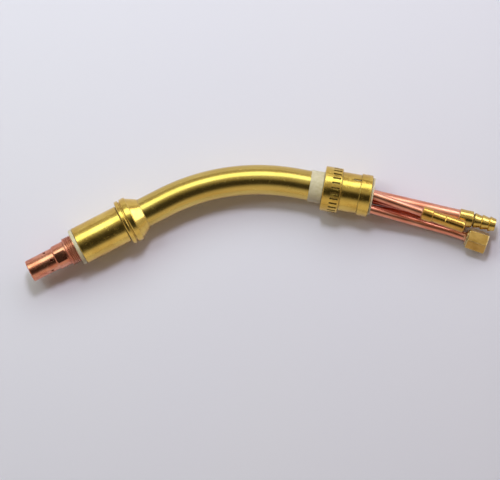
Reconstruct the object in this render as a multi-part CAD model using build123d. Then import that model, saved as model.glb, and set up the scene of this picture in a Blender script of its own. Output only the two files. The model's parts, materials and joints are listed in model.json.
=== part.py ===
from build123d import *
import math
import os

# Water-cooled welding torch neck, lying on its side. Millimetres.
# X runs along the rear collar's axis towards the fittings, Z is up,
# and the origin is the middle of the collar's clamping band, on its axis.

# Bent tube, as wide as the pipes inside it need
TUBE_WALL = 0.7
BEND_ANGLE = 37.2
BEND_RADIUS = 110.0
TUBE_FRONT_RUN = 12.5
TUBE_REAR_RUN = 8.3

# Head, lengths in order from the front face of the tip holder
TIP_BODY_LENGTH = 15.6
FLATS_LENGTH = 5.9
RELIEF_LENGTH = 1.0
NOSE_THREAD_LENGTH = 5.2
FLANGE_THICKNESS = 1.9
BARREL_LENGTH = 26.7
BARREL_RIDGE_LENGTH = 2.1
RIDGE_GROOVE = 0.65
ADAPTER_RIDGE_LENGTH = 3.5
CONE_LENGTH = 5.35

# Tip holder
TIP_OD = 12.0
TIP_BORE = 6.8
TIP_BORE_DEPTH = 9.0
CHAMBER_STEP = 0.6
TIP_COLLAR_STEP = 0.6
FLAT_STEP = 0.1
FLATS_TURN = 6.0
SOCKET_WALL = 1.55
TIP_SPIGOT_LENGTH = 8.0
TIP_SPIGOT_BORE = 5.0
GAS_HOLE = 1.6
GAS_HOLE_COUNT = 6
GAS_ROW_FRONT = 11.2
GAS_ROW_STEP = 2.1

# Copper core and its cooling jacket, steps and walls counted outwards from the pipes
CORE_WALL = 0.32
THREAD_RELIEF = 1.2
NOSE_SHOULDER = 0.15
JACKET_WALL = 0.35
JACKET_LENGTH = 19.0
JACKET_SETBACK = 1.4
GROOVE_DEPTH = 1.6
GROOVE_LENGTH = 8.0
GROOVE_SETBACK = 2.0
PIPE_SOCKET_DEPTH = 5.0
WIRE_PASSAGE = 4.4

# Nozzle barrel, insulator and adapter
JACKET_GAP = 0.1
INSULATOR_WALL = 1.1
INSULATOR_TAIL = 1.7
BARREL_WALL = 1.45
FLANGE_STEP = 0.2
RIDGE_STEP = 2.15
REGISTER_STEP = 1.1
BARREL_SPIGOT_WALL = 1.0
BARREL_SPIGOT_LENGTH = 4.0
UNDERCUT_LENGTH = 0.6
UNDERCUT_DEPTH = 0.4
CONE_STEP = 0.8
CONE_LIP = 0.45
TUBE_STOP = 0.8

# Rear collar, one turned piece of three bands
COLLAR_WALL = 0.55
RING_STEP = 1.5
RING_LENGTH = 9.3
BAND_LENGTH = 10.4
REAR_BAND_STEP = 0.7
REAR_BAND_LENGTH = 5.9
SLOT_COUNT = 26
SLOT_LENGTH = 4.3
SLOT_WIDTH = 1.1
SLOT_DEPTH = 0.8
SLOT_LIP = 0.8
SLOT_TURN = 87.4
BAND_SLOT_TURN = 46.0

# Cream rear sleeve, thin liner in the tube, spacers
SLEEVE_LIP = 0.5
SLEEVE_WALL = 1.0
SLEEVE_SHOWING = 7.2
SLEEVE_SHOULDER = 1.4
SLEEVE_RIM = 0.5
SLEEVE_PROUD = 1.2
SLEEVE_SPIGOT_LENGTH = 4.5
LINER_WALL = 0.3
SPACER_LENGTH = 3.5
FRONT_SPACER_SETBACK = 2.0
REAR_SPACER_SETBACK = 5.0

# Copper pipes, the power pipe's place in the tube is an angle from the outside of the bend
CONDUIT_OD = 7.6
CONDUIT_WALL = 0.8
PIPE_OD = 4.5
PIPE_WALL = 0.7
POWER_TURN = 135.0
NEIGHBOUR_GAP = 0.42
LINER_GAP = 0.12

# Where each pipe leaves the sleeve, each a gap away from its neighbour
POWER_EXIT_TURN = 163.5
GAS_EXIT_GAP = 0.35
CONDUIT_EXIT_DROP = 3.3
CONDUIT_EXIT_GAP = 0.56
FEED_EXIT_SIDE = 0.6
FEED_EXIT_GAP = 1.65
FAN_RUN = 15.0
FAN_RADIUS = 14.0

# Fittings at the pipe ends
BARB_SHANK_WALL = 0.65
BARB_SHANK_LENGTH = 7.4
BARB_WALL = 0.9
BARB_STEP = 0.7
BARB_BORE = 4.8
BARB_PITCH = 4.1
BARB_COUNT = 3
PLUG_COLLAR_LENGTH = 5.8
PLUG_BODY_LENGTH = 6.9
PLUG_NOSE_LENGTH = 11.0
PLUG_NOSE_STEP = 0.2
FEED_COLLAR_WALL = 1.45
FEED_BODY_WALL = 1.55
FEED_BORE = 3.1
GAS_COLLAR_WALL = 0.7
GAS_BODY_WALL = 1.1
GAS_BORE = 2.4
NOSE_ROUND = 1.0
COUPLING_FLATS = 10.2
COUPLING_LENGTH = 11.6
COUPLING_TURN = 14.0
COUPLING_SHOULDER_STEP = 0.8
COUPLING_SHOULDER_LENGTH = 0.8
COUPLING_THREAD_BORE = 6.8
COUPLING_THREAD_DEPTH = 6.5
DRILL_POINT = 118.0
SOCKET_DEPTH = 4.0

# Where the fittings start: the plugs above and below the conduit, the coupling beside the barb
BARB_START = (59.9, -2.4, -3.0)
BARB_YAW = 3.0
BARB_PITCH_DOWN = 1.0
FEED_START_X = 39.8
FEED_LIFT_TURN = 107.9
FEED_LIFT_GAP = 0.5
GAS_DROP_GAP = 0.47
GAS_SIDE_GAP = 0.8
GAS_END_GAP = 1.0
GAS_YAW = 0.5
GAS_PITCH_DOWN = 2.0
COUPLING_START_X = 65.7
COUPLING_BESIDE = 0.3
COUPLING_YAW = 8.9
LEAD_RUN = 9.0

# Fits
SLIP = 0.05
PIPE_GAP = 0.15
EDGE = 0.4

# Stations along the head, from the tip holder's front face
FLATS_AT = TIP_BODY_LENGTH
CORE_AT = FLATS_AT + FLATS_LENGTH
NOSE_THREAD_AT = CORE_AT + RELIEF_LENGTH
FLANGE_AT = NOSE_THREAD_AT + NOSE_THREAD_LENGTH
BARREL_AT = FLANGE_AT + FLANGE_THICKNESS
BARREL_RIDGE_AT = BARREL_AT + BARREL_LENGTH
JOINT_AT = BARREL_RIDGE_AT + BARREL_RIDGE_LENGTH
ADAPTER_RIDGE_AT = JOINT_AT + RIDGE_GROOVE
CONE_AT = ADAPTER_RIDGE_AT + ADAPTER_RIDGE_LENGTH
CONE_END = CONE_AT + CONE_LENGTH
JACKET_AT = BARREL_AT + JACKET_SETBACK
CORE_END = JACKET_AT + JACKET_LENGTH
PIPE_SOCKET_AT = CORE_END - PIPE_SOCKET_DEPTH
TUBE_FRONT_AT = JOINT_AT + BARREL_SPIGOT_LENGTH + TUBE_STOP

# Stations along the rear axis
RING_REAR_X = -BAND_LENGTH / 2
COLLAR_FRONT_X = RING_REAR_X - RING_LENGTH
BAND_REAR_X = BAND_LENGTH / 2
COLLAR_REAR_X = BAND_REAR_X + REAR_BAND_LENGTH
TUBE_END_X = COLLAR_FRONT_X - SLEEVE_SHOWING
BEND_REAR_X = TUBE_END_X - TUBE_REAR_RUN
SLEEVE_FRONT_X = TUBE_END_X - SLEEVE_SPIGOT_LENGTH
SLEEVE_REAR_X = COLLAR_REAR_X + SLEEVE_PROUD

PIPE_BORE = PIPE_OD - 2 * PIPE_WALL
CONDUIT_BORE = CONDUIT_OD - 2 * CONDUIT_WALL


def seat_turns(radius):
    """Angle from one small pipe to the next and to the conduit, when all touch a circle inside."""
    ring = radius - PIPE_OD / 2
    offset = radius - CONDUIT_OD / 2
    half_chord = min(1, (PIPE_OD + NEIGHBOUR_GAP) / 2 / ring)
    apart = (CONDUIT_OD + PIPE_OD) / 2 + NEIGHBOUR_GAP
    cosine = (ring ** 2 + offset ** 2 - apart ** 2) / (2 * ring * offset)
    return 2 * math.degrees(math.asin(half_chord)), math.degrees(math.acos(max(-1, min(1, cosine))))


def bundle_radius():
    """Smallest circle round the conduit and the three small pipes beside it."""
    low, high = (CONDUIT_OD + PIPE_OD) / 2, 2 * (CONDUIT_OD + PIPE_OD)
    while high - low > 1e-6:
        middle = (low + high) / 2
        if sum(seat_turns(middle)) > 180:
            low = middle
        else:
            high = middle
    return high


# The tube is the first one that holds the pipes, in steps of a tenth of a millimetre
TUBE_OD = math.ceil(20 * (bundle_radius() + LINER_GAP + LINER_WALL + SLIP + TUBE_WALL)) / 10
TUBE_BORE = TUBE_OD - 2 * TUBE_WALL
LINER_OD = TUBE_BORE - 2 * SLIP
LINER_BORE = LINER_OD - 2 * LINER_WALL
BUNDLE_RADIUS = LINER_BORE / 2 - LINER_GAP
CONDUIT_OFFSET = BUNDLE_RADIUS - CONDUIT_OD / 2
PIPE_RING_RADIUS = BUNDLE_RADIUS - PIPE_OD / 2
CONDUIT_TURN = POWER_TURN - 180
FEED_TURN = POWER_TURN - seat_turns(BUNDLE_RADIUS)[0]
GAS_TURN = POWER_TURN + seat_turns(BUNDLE_RADIUS)[0]

# Diameters of the head, outwards from the pipes
CORE_OD = 2 * (BUNDLE_RADIUS + SLIP + CORE_WALL)
JACKET_OD = CORE_OD + 2 * JACKET_WALL
INSULATOR_BORE = JACKET_OD + 2 * JACKET_GAP
INSULATOR_OD = INSULATOR_BORE + 2 * INSULATOR_WALL
BARREL_BORE = INSULATOR_OD + 2 * SLIP
BARREL_OD = BARREL_BORE + 2 * BARREL_WALL
BARREL_SPIGOT_OD = BARREL_BORE + 2 * BARREL_SPIGOT_WALL
FLANGE_OD = BARREL_OD - 2 * FLANGE_STEP
RIDGE_OD = BARREL_OD + 2 * RIDGE_STEP
REGISTER_OD = RIDGE_OD - 2 * REGISTER_STEP
CONE_START_OD = RIDGE_OD - 2 * CONE_STEP
CONE_END_OD = TUBE_OD + 2 * CONE_LIP
NOSE_THREAD_OD = INSULATOR_BORE + 2 * NOSE_SHOULDER
RELIEF_OD = NOSE_THREAD_OD - 2 * THREAD_RELIEF
TIP_SPIGOT_OD = RELIEF_OD - 2 * SOCKET_WALL - 2 * SLIP
TIP_COLLAR_OD = TIP_OD + 2 * TIP_COLLAR_STEP
ACROSS_FLATS = TIP_OD + 2 * FLAT_STEP
GAS_CHAMBER_BORE = TIP_BORE + 2 * CHAMBER_STEP

# Diameters of the sleeve and collar, outwards from the tube
SLEEVE_OD = TUBE_OD + 2 * SLEEVE_LIP
SLEEVE_BORE = SLEEVE_OD - 2 * SLEEVE_WALL
SLEEVE_REAR_OD = SLEEVE_OD + 2 * SLEEVE_SHOULDER
SLEEVE_REAR_BORE = SLEEVE_REAR_OD - 2 * SLEEVE_RIM
BAND_OD = SLEEVE_REAR_OD + 2 * SLIP + 2 * COLLAR_WALL
RING_OD = BAND_OD + 2 * RING_STEP
REAR_BAND_OD = BAND_OD + 2 * REAR_BAND_STEP

# Diameters of the fittings, outwards from the pipes or from their bores
BARB_SHANK_OD = CONDUIT_OD + 2 * SLIP + 2 * BARB_SHANK_WALL
BARB_ROOT_OD = BARB_BORE + 2 * BARB_WALL
BARB_OD = BARB_ROOT_OD + 2 * BARB_STEP
FEED_COLLAR_OD = PIPE_OD + 2 * SLIP + 2 * FEED_COLLAR_WALL
FEED_BODY_OD = FEED_BORE + 2 * FEED_BODY_WALL
GAS_COLLAR_OD = PIPE_OD + 2 * SLIP + 2 * GAS_COLLAR_WALL
GAS_BODY_OD = GAS_BORE + 2 * GAS_BODY_WALL
PLUG_LENGTH = PLUG_COLLAR_LENGTH + PLUG_BODY_LENGTH + PLUG_NOSE_LENGTH

# The neck rests on its largest rings, so it rolls about the rear axis until both touch the floor
FLOOR_Z = -RING_OD / 2
BEND = math.radians(BEND_ANGLE)
HEAD_DIRECTION = Vector(math.cos(BEND), math.sin(BEND), 0)
BEND_FRONT = Vector(BEND_REAR_X - BEND_RADIUS * math.sin(BEND), -BEND_RADIUS * (1 - math.cos(BEND)), 0)
TIP_FRONT = BEND_FRONT - HEAD_DIRECTION * (CONE_END + TUBE_FRONT_RUN)
RIDGE_CENTRE = TIP_FRONT + HEAD_DIRECTION * (CONE_AT - ADAPTER_RIDGE_LENGTH / 2)
REST_ROLL = -math.degrees(math.asin((RIDGE_OD - RING_OD) / 2 / -RIDGE_CENTRE.Y))


def facing(start, direction):
    """Plane at start whose z axis follows direction, with a level x axis and y upwards."""
    direction = Vector(direction)
    return Plane(origin=start, x_dir=Vector(0, 0, 1).cross(direction), z_dir=direction)


HEAD = facing(TIP_FRONT, HEAD_DIRECTION)
REAR = facing((0, 0, 0), (1, 0, 0))


def turned(*outline):
    """Solid of revolution about z from (radius, station) points."""
    return revolve(Plane.XZ * make_face(Polyline(*outline, close=True)), Axis.Z)


def sleeve(outer, inner, start, end):
    """Plain ring between two stations, from two diameters."""
    return turned((inner / 2, start), (outer / 2, start), (outer / 2, end), (inner / 2, end))


def drill(diameter, start, end, place=(0, 0)):
    """Round cutter parallel to z."""
    return Pos(place[0], place[1], start) * Cylinder(
        diameter / 2, end - start, align=(Align.CENTER, Align.CENTER, Align.MIN)
    )


def polar(radius, angle):
    """Point in a cross-section, the angle counted from the outside of the bend towards the top."""
    return radius * math.cos(math.radians(angle)), radius * math.sin(math.radians(angle))


def rims(solid, diameter, station):
    """Circular edges of one diameter at one station."""
    return solid.edges().filter_by(GeomType.CIRCLE).filter_by(
        lambda edge: abs(edge.radius - diameter / 2) < 1e-4 and abs(edge.arc_center.Z - station) < 1e-4
    )


def hexagon(across_flats, start, length, turn):
    """Hexagonal bar with its top and bottom corners turned from vertical, its ends chamfered."""
    bar = Pos(0, 0, start) * extrude(
        Rot(Z=turn) * RegularPolygon(across_flats / 2, 6, major_radius=False, rotation=30), length
    )
    corner = across_flats / math.sqrt(3)
    step = (corner - across_flats / 2) * 0.8
    cap = turned(
        (0, start), (corner - step, start), (corner, start + step / 2),
        (corner, start + length - step / 2), (corner - step, start + length), (0, start + length),
    )
    return bar & cap


# Seats of the four pipes in any cross-section of the neck
CONDUIT_PLACE = polar(CONDUIT_OFFSET, CONDUIT_TURN)
FEED_PLACE = polar(PIPE_RING_RADIUS, FEED_TURN)
GAS_PLACE = polar(PIPE_RING_RADIUS, GAS_TURN)
POWER_PLACE = polar(PIPE_RING_RADIUS, POWER_TURN)
SMALL_PLACES = (FEED_PLACE, GAS_PLACE, POWER_PLACE)

# Two pipes leave against the wall of the sleeve's wide rear bore, the feed pipe over the conduit
WALL_RADIUS = SLEEVE_REAR_BORE / 2 - PIPE_OD / 2 - PIPE_GAP
EXIT_HALF_TURN = math.degrees(math.asin((PIPE_OD + GAS_EXIT_GAP) / 2 / WALL_RADIUS))
POWER_EXIT = polar(WALL_RADIUS, POWER_EXIT_TURN)
GAS_EXIT = polar(WALL_RADIUS, POWER_EXIT_TURN + 2 * EXIT_HALF_TURN)
CONDUIT_REACH = (CONDUIT_OD + PIPE_OD) / 2 + CONDUIT_EXIT_GAP
CONDUIT_SIDE = GAS_EXIT[0] + math.sqrt(CONDUIT_REACH ** 2 - (GAS_EXIT[1] + CONDUIT_EXIT_DROP) ** 2)
CONDUIT_EXIT = (CONDUIT_SIDE, -CONDUIT_EXIT_DROP)
FEED_EXIT = (FEED_EXIT_SIDE, (CONDUIT_OD + PIPE_OD) / 2 + FEED_EXIT_GAP - CONDUIT_EXIT_DROP)


def tip_holder():
    collar_end = FLATS_AT + FLATS_LENGTH
    spigot_end = collar_end + TIP_SPIGOT_LENGTH
    body = turned(
        (TIP_BORE / 2, 0), (TIP_OD / 2 - EDGE, 0), (TIP_OD / 2, EDGE),
        (TIP_OD / 2, FLATS_AT - EDGE), (TIP_COLLAR_OD / 2, FLATS_AT + EDGE),
        (TIP_COLLAR_OD / 2, collar_end), (TIP_SPIGOT_OD / 2, collar_end),
        (TIP_SPIGOT_OD / 2, spigot_end), (TIP_SPIGOT_BORE / 2, spigot_end),
        (TIP_SPIGOT_BORE / 2, collar_end), (GAS_CHAMBER_BORE / 2, collar_end - 1.5),
        (GAS_CHAMBER_BORE / 2, TIP_BORE_DEPTH + 0.6), (TIP_BORE / 2, TIP_BORE_DEPTH),
    )
    for side in (0, 180):
        flat = Rot(Z=FLATS_TURN + side) * Pos(0, ACROSS_FLATS / 2, FLATS_AT) * Box(
            TIP_COLLAR_OD, TIP_COLLAR_OD, FLATS_LENGTH, align=(Align.CENTER, Align.MIN, Align.MIN)
        )
        body -= flat
    for hole in range(GAS_HOLE_COUNT):
        station = GAS_ROW_FRONT + GAS_ROW_STEP * ((hole + 1) % 2)
        angle = 90 + hole * 360 / GAS_HOLE_COUNT
        body -= Pos(0, 0, station) * Rot(Z=angle) * Rot(Y=90) * drill(GAS_HOLE, 0, TIP_OD)
    return HEAD * body


def head_core():
    socket = TIP_SPIGOT_OD + 2 * SLIP
    bottom = CORE_AT + TIP_SPIGOT_LENGTH + 0.5
    groove_at = JACKET_AT + GROOVE_SETBACK
    groove_end = groove_at + GROOVE_LENGTH
    groove_radius = CORE_OD / 2 - GROOVE_DEPTH
    body = turned(
        (socket / 2, CORE_AT), (RELIEF_OD / 2, CORE_AT), (RELIEF_OD / 2, NOSE_THREAD_AT),
        (NOSE_THREAD_OD / 2 - EDGE, NOSE_THREAD_AT), (NOSE_THREAD_OD / 2, NOSE_THREAD_AT + EDGE),
        (NOSE_THREAD_OD / 2, FLANGE_AT), (JACKET_OD / 2, FLANGE_AT), (JACKET_OD / 2, JACKET_AT),
        (CORE_OD / 2, JACKET_AT), (CORE_OD / 2, groove_at), (groove_radius, groove_at),
        (groove_radius, groove_end), (CORE_OD / 2, groove_end), (CORE_OD / 2, CORE_END),
        (0, CORE_END), (0, bottom), (socket / 2, bottom),
    )
    # The wire passage leans from the axis to the conduit's seat
    passage_end = PIPE_SOCKET_AT - 3.0
    passage = Vector(*CONDUIT_PLACE, passage_end) - Vector(0, 0, bottom - 1)
    lean = Plane(origin=(0, 0, bottom - 1), z_dir=passage)
    body -= lean * drill(WIRE_PASSAGE, 0, passage.length)
    body -= drill(WIRE_PASSAGE, passage_end - 0.5, CORE_END, CONDUIT_PLACE)
    body -= drill(CONDUIT_OD + 2 * SLIP, PIPE_SOCKET_AT, CORE_END, CONDUIT_PLACE)
    # Water drillings run forward into the groove, the gas drilling stops short of it
    water_end = groove_end - 5.0
    gas_end = groove_end + 1.5
    for place, depth in ((FEED_PLACE, water_end), (POWER_PLACE, water_end), (GAS_PLACE, gas_end)):
        body -= drill(PIPE_BORE, depth, CORE_END, place)
        body -= drill(PIPE_OD + 2 * SLIP, PIPE_SOCKET_AT, CORE_END, place)
    # The gas crosses from its drilling into the wire passage
    across = Vector(*CONDUIT_PLACE, gas_end + 1) - Vector(*GAS_PLACE, gas_end + 1)
    cross = Plane(origin=(*GAS_PLACE, gas_end + 1), z_dir=across)
    body -= cross * drill(GAS_BORE, 0, across.length)
    return HEAD * body


def water_jacket():
    return HEAD * sleeve(JACKET_OD, CORE_OD + 2 * SLIP, JACKET_AT, CORE_END)


def front_insulator():
    outer = INSULATOR_OD / 2
    end = JOINT_AT - INSULATOR_TAIL
    body = turned(
        (INSULATOR_BORE / 2, FLANGE_AT), (FLANGE_OD / 2 - EDGE / 2, FLANGE_AT),
        (FLANGE_OD / 2, FLANGE_AT + EDGE / 2), (FLANGE_OD / 2, BARREL_AT),
        (outer, BARREL_AT), (outer, end), (INSULATOR_BORE / 2, end),
    )
    return HEAD * body


def nozzle_barrel():
    spigot_end = JOINT_AT + BARREL_SPIGOT_LENGTH
    undercut_at = BARREL_RIDGE_AT - UNDERCUT_LENGTH
    body = turned(
        (BARREL_BORE / 2, BARREL_AT), (BARREL_OD / 2 - EDGE, BARREL_AT), (BARREL_OD / 2, BARREL_AT + EDGE),
        (BARREL_OD / 2, undercut_at), (BARREL_OD / 2 - UNDERCUT_DEPTH, undercut_at),
        (BARREL_OD / 2 - UNDERCUT_DEPTH, BARREL_RIDGE_AT), (RIDGE_OD / 2, BARREL_RIDGE_AT),
        (RIDGE_OD / 2, JOINT_AT), (BARREL_SPIGOT_OD / 2, JOINT_AT),
        (BARREL_SPIGOT_OD / 2, spigot_end), (BARREL_BORE / 2, spigot_end),
    )
    edges = rims(body, RIDGE_OD, BARREL_RIDGE_AT) + rims(body, RIDGE_OD, JOINT_AT)
    return HEAD * fillet(edges, 0.5)


def neck_adapter():
    counterbore = BARREL_SPIGOT_OD + 2 * SLIP
    stop_at = TUBE_FRONT_AT - TUBE_STOP
    socket = TUBE_OD + 2 * SLIP
    body = turned(
        (counterbore / 2, JOINT_AT), (REGISTER_OD / 2, JOINT_AT), (REGISTER_OD / 2, ADAPTER_RIDGE_AT),
        (RIDGE_OD / 2, ADAPTER_RIDGE_AT), (RIDGE_OD / 2, CONE_AT), (CONE_START_OD / 2, CONE_AT),
        (CONE_END_OD / 2, CONE_END), (socket / 2, CONE_END), (socket / 2, TUBE_FRONT_AT),
        (TUBE_BORE / 2, TUBE_FRONT_AT), (TUBE_BORE / 2, stop_at), (counterbore / 2, stop_at),
    )
    body = fillet(rims(body, RIDGE_OD, ADAPTER_RIDGE_AT) + rims(body, RIDGE_OD, CONE_AT), 0.7)
    return HEAD * body


def neck_path(place, front_at, rear_x):
    """Points and bend radius of a line that keeps one place in the neck's cross-section."""
    outward, height = place
    radius = BEND_RADIUS + outward
    front = TIP_FRONT + HEAD_DIRECTION * front_at + HEAD.x_dir * outward
    middle = Vector(-math.sin(BEND / 2), math.cos(BEND / 2), 0)
    corner = Vector(BEND_REAR_X, -BEND_RADIUS, 0) + middle * (radius / math.cos(BEND / 2))
    rear = Vector(rear_x, outward, 0)
    lift = Vector(0, 0, height)
    return [front + lift, corner + lift, rear + lift], radius


def swept_ring(points, radii, outer, inner):
    """Pipe of two diameters along straight runs joined by tangent arcs."""
    path = FilletPolyline(*points, radius=radii)
    start = facing(points[0], (points[1] - points[0]).normalized())
    section = start * (Circle(outer / 2) - Circle(inner / 2))
    return sweep(section, path=path)


def neck_tube():
    points, radius = neck_path((0, 0), TUBE_FRONT_AT, TUBE_END_X)
    return swept_ring(points, [radius], TUBE_OD, TUBE_BORE)


def tube_liner():
    points, radius = neck_path((0, 0), TUBE_FRONT_AT + 0.2, SLEEVE_FRONT_X - 0.1)
    return swept_ring(points, [radius], LINER_OD, LINER_BORE)


def rear_sleeve():
    spigot = LINER_OD / 2
    shoulder_x = RING_REAR_X
    body = turned(
        (LINER_BORE / 2, SLEEVE_FRONT_X), (spigot, SLEEVE_FRONT_X), (spigot, TUBE_END_X),
        (SLEEVE_OD / 2, TUBE_END_X), (SLEEVE_OD / 2, shoulder_x), (SLEEVE_REAR_OD / 2, shoulder_x),
        (SLEEVE_REAR_OD / 2, SLEEVE_REAR_X), (SLEEVE_REAR_BORE / 2, SLEEVE_REAR_X),
        (SLEEVE_REAR_BORE / 2, shoulder_x + 1.5), (SLEEVE_BORE / 2, shoulder_x + 1.5),
        (SLEEVE_BORE / 2, TUBE_END_X), (LINER_BORE / 2, TUBE_END_X),
    )
    return REAR * body


def clamp_collar():
    front_bore = SLEEVE_OD / 2 + SLIP
    rear_bore = SLEEVE_REAR_OD / 2 + SLIP
    body = turned(
        (front_bore, COLLAR_FRONT_X), (RING_OD / 2 - EDGE, COLLAR_FRONT_X),
        (RING_OD / 2, COLLAR_FRONT_X + EDGE), (RING_OD / 2, RING_REAR_X - EDGE / 2),
        (RING_OD / 2 - EDGE / 2, RING_REAR_X), (BAND_OD / 2, RING_REAR_X), (BAND_OD / 2, BAND_REAR_X),
        (REAR_BAND_OD / 2, BAND_REAR_X), (REAR_BAND_OD / 2, COLLAR_REAR_X - EDGE),
        (REAR_BAND_OD / 2 - EDGE, COLLAR_REAR_X), (rear_bore, COLLAR_REAR_X),
        (rear_bore, RING_REAR_X), (front_bore, RING_REAR_X),
    )
    ring_slot_x = RING_REAR_X - SLOT_LIP - SLOT_LENGTH / 2
    for slot in range(SLOT_COUNT):
        turn = SLOT_TURN + slot * 360 / SLOT_COUNT
        body -= slot_cutter(RING_OD, ring_slot_x, turn)
    body -= slot_cutter(BAND_OD, BAND_REAR_X - SLOT_LENGTH / 2, BAND_SLOT_TURN)
    return REAR * body


def slot_cutter(diameter, station, turn):
    """Milled pocket along the axis, as deep as the slots are, at one angle round the collar."""
    cutter = Box(2 * SLOT_DEPTH, SLOT_WIDTH, SLOT_LENGTH)
    return Rot(Z=turn) * Pos(diameter / 2, 0, station) * cutter


def pipe_spacer(frame, outer, start):
    """Disc with a hole for each pipe."""
    disc = drill(outer, start, start + SPACER_LENGTH)
    disc -= drill(CONDUIT_OD + 2 * SLIP, start, start + SPACER_LENGTH, CONDUIT_PLACE)
    for place in SMALL_PLACES:
        disc -= drill(PIPE_OD + 2 * SLIP, start, start + SPACER_LENGTH, place)
    return frame * disc


def pipe_spacer_front():
    return pipe_spacer(HEAD, INSULATOR_BORE - 2 * SLIP, CORE_END + FRONT_SPACER_SETBACK)


def pipe_spacer_rear():
    return pipe_spacer(REAR, SLEEVE_BORE - 2 * SLIP, COLLAR_FRONT_X - REAR_SPACER_SETBACK)


def axis_of(yaw, pitch_down):
    """Direction of a fitting, from its turn towards the head's side and its fall."""
    return Vector(1, 0, 0).rotate(Axis.Y, pitch_down).rotate(Axis.Z, -yaw)


def hex_depth(across_flats, turn):
    """Distance from a hexagon's axis down to its lowest corner."""
    return across_flats / math.sqrt(3) * math.cos(math.radians(turn))


def coupling_frame():
    """The coupling lies level on the floor beside the barb, on its lowest edge."""
    roll = math.radians(REST_ROLL)
    x, y = COUPLING_START_X, BARB_START[1] - (BARB_SHANK_OD + COUPLING_FLATS) / 2 - COUPLING_BESIDE
    height = FLOOR_Z + hex_depth(COUPLING_FLATS, COUPLING_TURN + REST_ROLL)
    z = (height - y * math.sin(roll)) / math.cos(roll)
    return facing((x, y, z), axis_of(COUPLING_YAW, 0))


BARB_FRAME = facing(BARB_START, axis_of(BARB_YAW, BARB_PITCH_DOWN))
COUPLING_FRAME = coupling_frame()


def run_at(x, exit_place, fitting):
    """Point where a pipe's straight run from the sleeve to its fitting passes x."""
    start = Vector(SLEEVE_REAR_X, *exit_place)
    run = fitting.origin - fitting.z_dir * LEAD_RUN - start
    return start + run * ((x - start.X) / run.X)


def beside(centre, distance, turn):
    """Point at a distance from a centre, in its cross-section."""
    side, lift = polar(distance, turn)
    return centre + Vector(0, side, lift)


def feed_start():
    """The feed plug starts above the conduit."""
    conduit = run_at(FEED_START_X, CONDUIT_EXIT, BARB_FRAME)
    return beside(conduit, (CONDUIT_OD + FEED_COLLAR_OD) / 2 + FEED_LIFT_GAP, FEED_LIFT_TURN)


def gas_start():
    """The gas plug lies under the conduit and the power pipe, a gap away from both."""
    x = COUPLING_START_X - GAS_END_GAP - PLUG_LENGTH
    conduit = run_at(x, CONDUIT_EXIT, BARB_FRAME)
    power = run_at(x, POWER_EXIT, COUPLING_FRAME) - conduit
    from_conduit = (CONDUIT_OD + GAS_COLLAR_OD) / 2 + GAS_DROP_GAP
    from_power = (PIPE_OD + GAS_COLLAR_OD) / 2 + GAS_SIDE_GAP
    cosine = (from_conduit ** 2 + power.length ** 2 - from_power ** 2) / (2 * from_conduit * power.length)
    turn = math.atan2(power.Z, power.Y) + math.acos(cosine)
    return beside(conduit, from_conduit, math.degrees(turn))


FEED_START = feed_start()
FEED_FRAME = facing(FEED_START, FEED_START - Vector(SLEEVE_REAR_X, *FEED_EXIT))
GAS_FRAME = facing(gas_start(), axis_of(GAS_YAW, GAS_PITCH_DOWN))


def copper_pipe(place, exit_place, fitting, lead, outer, inner):
    """Pipe from the core through the neck to its fitting, bent out inside the sleeve's rear bore."""
    points, radius = neck_path(place, PIPE_SOCKET_AT + SLIP, SLEEVE_REAR_X - FAN_RUN)
    points.append(Vector(SLEEVE_REAR_X, *exit_place))
    if lead:
        points.append(fitting.origin - fitting.z_dir * lead)
    points.append(fitting.origin + fitting.z_dir * SOCKET_DEPTH)
    radii = [radius] + [FAN_RADIUS] * (len(points) - 3)
    return swept_ring(points, radii, outer, inner)


def wire_conduit():
    return copper_pipe(CONDUIT_PLACE, CONDUIT_EXIT, BARB_FRAME, LEAD_RUN, CONDUIT_OD, CONDUIT_BORE)


def water_feed_pipe():
    return copper_pipe(FEED_PLACE, FEED_EXIT, FEED_FRAME, 0, PIPE_OD, PIPE_BORE)


def gas_pipe():
    return copper_pipe(GAS_PLACE, GAS_EXIT, GAS_FRAME, LEAD_RUN, PIPE_OD, PIPE_BORE)


def power_pipe():
    return copper_pipe(POWER_PLACE, POWER_EXIT, COUPLING_FRAME, LEAD_RUN, PIPE_OD, PIPE_BORE)


def conduit_barb():
    socket = CONDUIT_OD + 2 * SLIP
    shank = BARB_SHANK_LENGTH
    end = shank + BARB_COUNT * BARB_PITCH
    outline = [
        (socket / 2, 0), (BARB_SHANK_OD / 2 - EDGE / 2, 0), (BARB_SHANK_OD / 2, EDGE / 2),
        (BARB_SHANK_OD / 2, shank - EDGE), (BARB_SHANK_OD / 2 - EDGE, shank), (BARB_ROOT_OD / 2, shank),
    ]
    for barb in range(BARB_COUNT):
        start = shank + barb * BARB_PITCH
        outline.append((BARB_ROOT_OD / 2, start + 0.5))
        outline.append((BARB_OD / 2, start + 0.9))
        outline.append((BARB_OD / 2 - 0.1, start + 1.5))
        outline.append((BARB_ROOT_OD / 2, start + BARB_PITCH))
    outline += [(BARB_BORE / 2, end), (BARB_BORE / 2, SOCKET_DEPTH), (socket / 2, SOCKET_DEPTH)]
    return BARB_FRAME * turned(*outline)


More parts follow.
